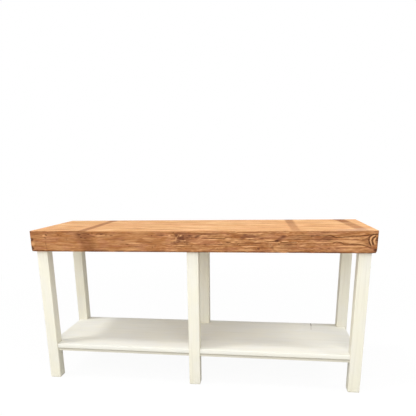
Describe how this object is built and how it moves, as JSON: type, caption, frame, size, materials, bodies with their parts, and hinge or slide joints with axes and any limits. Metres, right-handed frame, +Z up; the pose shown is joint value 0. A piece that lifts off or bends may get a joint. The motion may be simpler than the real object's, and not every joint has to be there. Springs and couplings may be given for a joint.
{
  "type": "sideboard",
  "caption": "Open console sideboard: thick hollow top of mitred rustic boards on a white painted frame of square legs, with one low notched shelf.",
  "frame": {"origin": "on the floor, under the middle of the top", "axes": "+X to the right along the length, +Y to the back, +Z up; the front faces -Y"},
  "size_m": [1.83, 0.57, 0.886],
  "materials": {
    "rustic_wood": "oiled reclaimed boards, rough grain",
    "white_paint": "satin off-white paint over wood",
    "bare_pine": "bare planed softwood",
    "beech_dowel": "bare turned hardwood",
    "zinc_screw": "zinc plated"
  },
  "bodies": {
    "root": {"top_plank_front": "rustic_wood", "top_plank_mid_front": "rustic_wood", "top_plank_mid_back": "rustic_wood", "top_plank_back": "rustic_wood", "front_apron": "rustic_wood", "back_apron": "rustic_wood", "left_end_board": "rustic_wood", "right_end_board": "rustic_wood", "batten_left": "bare_pine", "batten_left_bay": "bare_pine", "batten_middle": "bare_pine", "batten_right_bay": "bare_pine", "batten_right": "bare_pine", "leg_front_left": "white_paint", "leg_front_middle": "white_paint", "leg_front_right": "white_paint", "leg_back_left": "white_paint", "leg_back_middle": "white_paint", "leg_back_right": "white_paint", "upper_rail_front_left": "bare_pine", "upper_rail_front_right": "bare_pine", "upper_rail_back_left": "bare_pine", "upper_rail_back_right": "bare_pine", "upper_cross_left": "bare_pine", "upper_cross_middle": "bare_pine", "upper_cross_right": "bare_pine", "lower_rail_front_left": "white_paint", "lower_rail_front_right": "white_paint", "lower_rail_back_left": "white_paint", "lower_rail_back_right": "white_paint", "lower_cross_left": "white_paint", "lower_cross_middle": "white_paint", "lower_cross_right": "white_paint", "shelf_plank_front": "white_paint", "shelf_plank_mid_front": "white_paint", "shelf_plank_mid_back": "white_paint", "shelf_plank_back": "white_paint", "upper_dowels": "beech_dowel", "lower_dowels": "beech_dowel", "batten_screws": "zinc_screw", "board_screws": "zinc_screw", "shelf_screws": "zinc_screw"}
  },
  "joints": []
}
